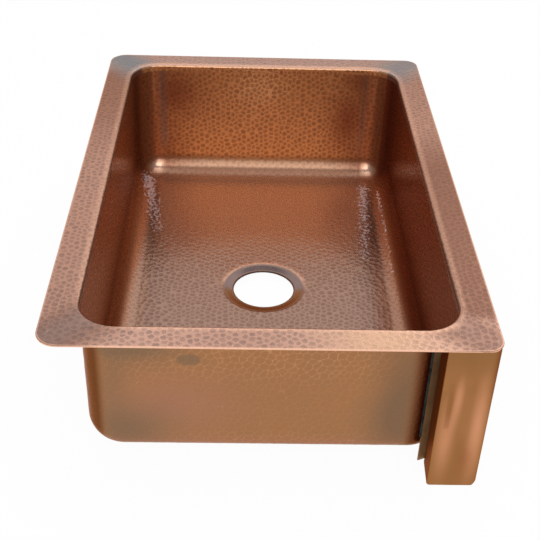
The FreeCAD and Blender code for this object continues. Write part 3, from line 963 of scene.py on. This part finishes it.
def floor_middle():
    """Floor about the drain: rays from the recess's circle out to the middle's rectangle."""
    far_y = CORNER_Y + CORNER - FLOOR_REACH
    corners = [(MIDDLE_X, -far_y), (MIDDLE_X, far_y), (-MIDDLE_X, far_y), (-MIDDLE_X, -far_y)]
    sides = []
    for (x0, y0), (x1, y1) in zip(corners, corners[1:] + corners[:1]):
        t = spaced(1.0, 1.9 * mm / max(abs(x1 - x0), abs(y1 - y0)))[:-1]
        sides.append(np.stack([x0 + (x1 - x0) * t, y0 + (y1 - y0) * t], -1))
    rim = np.concatenate(sides + [sides[0][:1]])
    hole = rim / np.linalg.norm(rim, axis=1)[:, None] * RECESS
    t = np.concatenate([np.linspace(0, 0.03, 5)[:-1], np.linspace(0.03, 1, 60)])
    flat = hole[:, None] + (rim - hole)[:, None] * t[None, :, None]
    x, y = flat[..., 0], flat[..., 1]
    points = np.stack([x, y, floor_height(x, y)], -1)
    inwards = lift(-hole / np.linalg.norm(hole, axis=1)[:, None], np.zeros(len(hole)))
    outwards = np.where(np.abs(rim[:, :1]) > MIDDLE_X - 1e-6, rim * [1, 0], rim * [0, 1])
    outwards = lift(outwards / np.linalg.norm(outwards, axis=1)[:, None], np.zeros(len(rim)))

    def face(points, normals):
        r = np.hypot(points[..., 0], points[..., 1])
        return strike_inside(points, normals, ramp(r, RECESS + 2 * mm, RECESS + 5 * mm))

    def rear(points, normals):
        r = np.hypot(points[..., 0], points[..., 1])
        return OUTSIDE.strike(points, normals, ramp(r, LAP + 3 * mm, LAP + 8 * mm))
    edges = (None, None, inwards[:, None], outwards[:, None])
    sheet_piece("bowl_floor_middle", points, floor_normals(x, y), face, rear, edges,
                WALL_PAINTS, "basin_shell")


# ---------------------------------------------------------------- the drain ring
def lathe(name, section, turns, paints, node, tones):
    """A closed section of (radius, height) points turned round the Z axis, its marks a function of place."""
    piece = Piece(name)
    angle = np.linspace(0, 2 * pi, turns + 1)
    way = np.stack([np.cos(angle), np.sin(angle)], -1)
    way[-1] = way[0]
    loop = np.concatenate([section, section[:1]])
    run = loop[1:] - loop[:-1]
    normal = np.stack([run[:, 1], -run[:, 0]], -1)
    normal /= np.linalg.norm(normal, axis=1)[:, None]
    area = (loop[:-1, 0] * loop[1:, 1] - loop[1:, 0] * loop[:-1, 1]).sum()
    normal = normal * np.sign(area)
    for a, b, n in zip(loop[:-1], loop[1:], normal):
        pair = np.stack([a, b])
        points = lift(way[:, None] * pair[None, :, :1], pair[None, :, 1])
        normals = lift(way[:, None] * np.full((1, 2, 1), n[0]), np.full((turns + 1, 2), n[1]))
        piece.patch(points, normals, tones(points))
    return piece.build(paints, node)


def eased(corners, radius, steps):
    """A closed section with each corner cut to a small round: a parabola between points a radius away."""
    corners = np.asarray(corners, float)
    before, after = np.roll(corners, 1, 0), np.roll(corners, -1, 0)
    t = np.linspace(0, 1, steps + 1)[None, :, None]

    def toward(other):
        gap = other - corners
        size = np.linalg.norm(gap, axis=1)[:, None]
        return (corners + gap / size * np.minimum(radius, size * 0.45))[:, None]
    bend = (1 - t) ** 2 * toward(before) + 2 * t * (1 - t) * corners[:, None] + t ** 2 * toward(after)
    return bend.reshape(-1, 2)


def drain_ring():
    """Dished ring: a seat that slopes up from the hole, a short wall and a lap under the floor."""
    lap_top = FLOOR_EDGE - SHEET
    lap_low = lap_top - RING_SHEET
    corners = [(DRAIN, 0), (DRAIN + 3 * mm, 0.2 * mm), (RECESS - 2 * mm, 2.2 * mm),
               (RECESS, FLOOR_EDGE - LIP_DROP), (RECESS, lap_top), (LAP, lap_top), (LAP, lap_low),
               (RING_STEP, lap_low), (RING_STEP, -RING_SHEET), (DRAIN, -RING_SHEET)]
    radii = np.array([0.5, 1.2, 2.5, 0.05, 0.05, 0.3, 0.3, 0.3, 0.3, 0.3])[:, None] * mm

    def tones(points):
        """Greyer slope, a darker edge at the hole, and browner and darker on the side nearest the left end.
        """
        r = np.hypot(points[..., 0], points[..., 1])
        near = ramp(points[..., 0] / r, 0.05, -0.15)
        darkened = np.maximum(0.9 * ramp(r, DRAIN + 2.5 * mm, DRAIN + 0.8 * mm), 0.25 * near)
        return {"grey": 0.75 * ramp(r, DRAIN, DRAIN + 3 * mm) * (1 - near), "dark": darkened, "warm": 0.6 * near}
    lathe("drain_ring", eased(corners, radii, 5), 180, (SEAT_COPPER,), "drain_seat", tones)


# ---------------------------------------------------------------- the apron
def sway(points):
    """Depth of slow waves left by folding and finishing by hand, 0 to 0.23 mm: three crossed sine waves."""
    x, y, z = xyz(points)
    waves = np.sin(95 * x + 9 * z + 1.0) + np.sin(130 * y - 11 * z + 2.2)
    waves = waves + 0.6 * np.sin(41 * (x + y) + 17 * z)
    return 0.045 * mm * (waves + 2.6)


def swayed(points, normals):
    """Pushes a sheet's face in by the waves and tilts its normals by their slope."""
    small = 0.05 * mm
    slope = np.stack([(sway(points + small * axis) - sway(points - small * axis)) / (2 * small)
                      for axis in np.eye(3)], -1)
    slope -= normals * (slope * normals).sum(-1)[..., None]
    turned = normals + slope
    turned /= np.linalg.norm(turned, axis=-1)[..., None]
    return points - normals * sway(points)[..., None], turned, apron_tones(points)


def apron_tones(points):
    """Apron ends: lighter upright columns that are painted highlights, an olive top, painted shade in the
    fold and on the return, and darker stains.
    """
    x, y, z = xyz(points)
    u = RETURN_Y - y
    # Painted highlights: lighter upright columns on the end face.
    light = (
        0.9 * spot(u, z, (0.047, 0.085), (0.011, 0.085)) + 0.75 * spot(u, z, (0.012, 0.07), (0.012, 0.075))
        + 0.5 * spot(u, z, (0.021, 0.13), (0.006, 0.035)) - 0.35 * spot(u, z, (0.012, 0.115), (0.004, 0.03)))
    top = ramp(z, 0.15, 0.195)
    # Painted shade in the fold and over the return.
    fold = spot(u, z, (0.0575, 0.2), (0.004, 0.07))
    return_face = ramp(u, 0.5 * mm, -0.2 * mm) * ramp(np.abs(x), 0.3755, 0.374)
    run = ramp(u, 0.0075, 0.0085) * ramp(u, 0.0145, 0.0135) * ramp(z, 0.08, 0.084) * ramp(z, 0.16, 0.1)
    stain = 0.22 * run + 0.25 * spot(u, z, (0.041, 0.035), (0.008, 0.022))
    dark = np.clip(0.7 * fold + 0.95 * return_face + stain, 0, 0.95)
    return {"warm": np.clip(0.68 * light, 0, 1), "grey": 0.5 * top, "dark": dark}


def apron_front():
    """Front sheet from the rim down, round the hem's quarter turn and back along its flange."""
    x = spaced(2 * HEM_X, 1.9 * mm) - HEM_X
    drop = RIM_UNDER - APRON_LOW - HEM_TURN
    v = np.concatenate([spaced(drop, 1.9 * mm)[:-1], drop + spaced(HEM_TURN * pi / 2, 0.9 * mm)[:-1],
                        drop + HEM_TURN * pi / 2 + spaced(HEM_DEPTH - HEM_TURN, 2.5 * mm)])
    xx, vv = np.meshgrid(x, v, indexing="ij")
    turn = np.clip(vv - drop, 0, HEM_TURN * pi / 2) / HEM_TURN
    back = np.maximum(vv - drop - HEM_TURN * pi / 2, 0)
    y = APRON_Y + HEM_TURN * (1 - np.cos(turn)) + back
    z = RIM_UNDER - np.minimum(vv, drop) - HEM_TURN * np.sin(turn)
    points = np.stack([xx, y, z], -1)
    normals = np.stack([np.zeros_like(xx), -np.cos(turn), -np.sin(turn)], -1)

    def face(points, normals):
        strength = ramp(HEM_X - np.abs(xx), 0, 3 * mm) * ramp(drop - vv, -2 * mm, 3 * mm)
        return APRON.strike(points, normals, strength)
    edges = ((-1, 0, 0), (1, 0, 0), (0, 0, 1), (0, 1, 0))
    sheet_piece("apron_front", points, normals, face, unstruck, edges,
                (APRON_COPPER,), "apron_panel")


def apron_end(side):
    """End of the apron: a short front, a bend, the end face, a bend and the return, its corner snipped."""
    quarter = APRON_BEND * pi / 2
    front = APRON_X - APRON_BEND - HEM_X
    depth = RETURN_Y - APRON_Y - 2 * APRON_BEND
    back = APRON_X - APRON_BEND - RETURN_END
    starts = np.cumsum([0, front, quarter, depth, quarter])
    tiny = 0.01 * mm
    p = np.concatenate([
        starts[0] + spaced(front, 1 * mm)[:-1], starts[1] + spaced(quarter, 0.7 * mm)[:-1],
        starts[2] + spaced(depth, 1 * mm)[:-1], starts[3] + spaced(quarter, 0.7 * mm),
        starts[4] + tiny + spaced(back - tiny, 1.1 * mm)])

    def along(number, length):
        return np.clip(p - starts[number], 0, length)
    first, second = along(1, quarter) / APRON_BEND, along(3, quarter) / APRON_BEND
    turn = first + second
    inwards = along(4, back)
    x = -(HEM_X + along(0, front) + APRON_BEND * np.sin(first) - APRON_BEND * (1 - np.cos(second)) - inwards)
    y = APRON_Y + APRON_BEND * (1 - np.cos(first)) + along(2, depth) + APRON_BEND * np.sin(second)
    out = np.stack([-np.sin(turn), -np.cos(turn)], -1)
    snip = SNIP_HIGH * np.clip(1 - (y - APRON_Y) / SNIP_DEEP, 0, 1)
    low = APRON_LOW + snip + RETURN_RISE * inwards / (back + 1 * mm)
    high = np.where(inwards > 0, RIM_UNDER - RETURN_RELIEF, RIM_UNDER)
    t = spaced(1.0, 1.6 / 210)
    flat = np.stack([x, y], -1)
    if side == "right":
        flat, out = flat * [-1, 1], out * [-1, 1]
    z = low[:, None] + (high - low)[:, None] * t[None, :]
    points = lift(np.broadcast_to(flat[:, None], z.shape + (2,)), z)
    normals = lift(np.broadcast_to(out[:, None], z.shape + (2,)), np.zeros_like(z))
    inner = 1 if side == "left" else -1
    edges = ((inner, 0, 0), (inner, 0, 0), (0, 0, -1), (0, 0, 1))
    sheet_piece("apron_end_" + side, points, normals, swayed, unstruck, edges,
                (SMOOTH_COPPER,), "apron_panel")


# ---------------------------------------------------------------- camera, lamps and floor
def camera():
    """The photograph's camera: place, heading, pitch and roll fitted to the rim and the drain."""
    heading, pitch, roll = radians(-1.93), radians(35.236), radians(2.011)
    ahead = Vector((cos(pitch) * cos(heading), cos(pitch) * sin(heading), -sin(pitch)))
    right = ahead.cross(Vector((0, 0, 1))).normalized()
    up = right.cross(ahead)
    across = right * cos(roll) + up * sin(roll)
    above = up * cos(roll) - right * sin(roll)
    data = bpy.data.cameras.new("camera")
    data.lens, data.sensor_width = 67.77, 36.0
    item = bpy.data.objects.new("camera", data)
    turned = Matrix((across, above, -ahead)).transposed().to_4x4()
    item.matrix_world = Matrix.Translation((-1.217, 0.0324, 0.8944)) @ turned
    bpy.context.scene.collection.objects.link(item)
    bpy.context.scene.camera = item


def lamp(name, place, aim, size, power):
    """Square soft box that shines from a place at a point."""
    data = bpy.data.lights.new(name, "AREA")
    data.shape = "RECTANGLE"
    data.size, data.size_y = size
    data.energy = power
    item = bpy.data.objects.new(name, data)
    item.location = place
    item.rotation_euler = (Vector(aim) - Vector(place)).to_track_quat("-Z", "Y").to_euler()
    bpy.context.scene.collection.objects.link(item)


def stage():
    """White floor that keeps a faint shadow, under a pale surround."""
    size, low = 6.0, APRON_LOW - 0.2 * mm
    mesh = bpy.data.meshes.new("studio_floor")
    mesh.from_pydata([(-size, -size, low), (size, -size, low), (size, size, low), (-size, size, low)], [],
                     [(0, 1, 2, 3)])
    item = bpy.data.objects.new("studio_floor", mesh)
    bpy.context.scene.collection.objects.link(item)
    p = Paint(bpy.data.materials.new("studio_floor"))
    straight, glossy, through = [p.node("ShaderNodeLightPath", {}, {}, f"Is {kind} Ray")
                                 for kind in ("Camera", "Glossy", "Transmission")]
    shown = (straight + glossy + through) * 0.93
    paper = p.node("ShaderNodeBsdfDiffuse", {}, {"Color": (0.85, 0.85, 0.85, 1)})
    glow = p.node("ShaderNodeEmission", {}, {"Color": (1, 1, 1, 1), "Strength": 1.03})
    both = p.node("ShaderNodeMixShader", {}, {0: shown, 1: paper, 2: glow})
    p.node("ShaderNodeOutputMaterial", {}, {"Surface": both})
    mesh.materials.append(p.owner)

    around = Paint(bpy.data.worlds.new("studio"))
    seen = around.node("ShaderNodeLightPath", {}, {}, "Is Camera Ray")
    soft = around.node("ShaderNodeBackground", {}, {"Color": (0.92, 0.95, 1.0, 1), "Strength": 0.26})
    white = around.node("ShaderNodeBackground", {}, {"Color": (1, 1, 1, 1)})
    mixed = around.node("ShaderNodeMixShader", {}, {0: seen, 1: soft, 2: white})
    around.node("ShaderNodeOutputWorld", {}, {"Surface": mixed})
    bpy.context.scene.world = around.owner
    bpy.context.scene.view_settings.view_transform = "Standard"


camera()
stage()
lamp("overhead", (0.25, 0.0, 1.9), (0.1, 0, 0.1), (2.2, 1.6), 8)
lamp("front_box", (-2.1, 0.0, 1.65), (0, 0, 0.1), (3.0, 2.0), 26)
lamp("back_box", (1.7, 0.0, 1.5), (0, 0, 0.1), (2.0, 1.0), 5.2)
lamp("back_low", (2.5, 0.0, 0.95), (0, 0, 0.1), (3.6, 0.8), 4.4)
lamp("back_side", (1.2, -1.2, 1.4), (0, 0, 0.1), (1.2, 1.0), 2.5)

for side_name in SIDES:
    rim_strip(side_name)
    bowl_wall(side_name, 1.9 * mm if side_name in ("front", "back") else 1.7 * mm)
for side_name in ("left", "right"):
    floor_end(side_name)
floor_middle()
drain_ring()
apron_front()
for side_name in ("left", "right"):
    apron_end(side_name)

for node, paint in (("drain_seat_braze", BRAZE), ("rim_corner_welds", WELD_COPPER),
                    ("rim_basin_weld", WELD_COPPER), ("apron_cleat_left", TINNED),
                    ("apron_cleat_right", TINNED), ("cleat_solder_left", SOLDER),
                    ("cleat_solder_right", SOLDER), ("apron_rim_solder", SOLDER)):
    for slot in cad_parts[node].material_slots:
        slot.material = paint
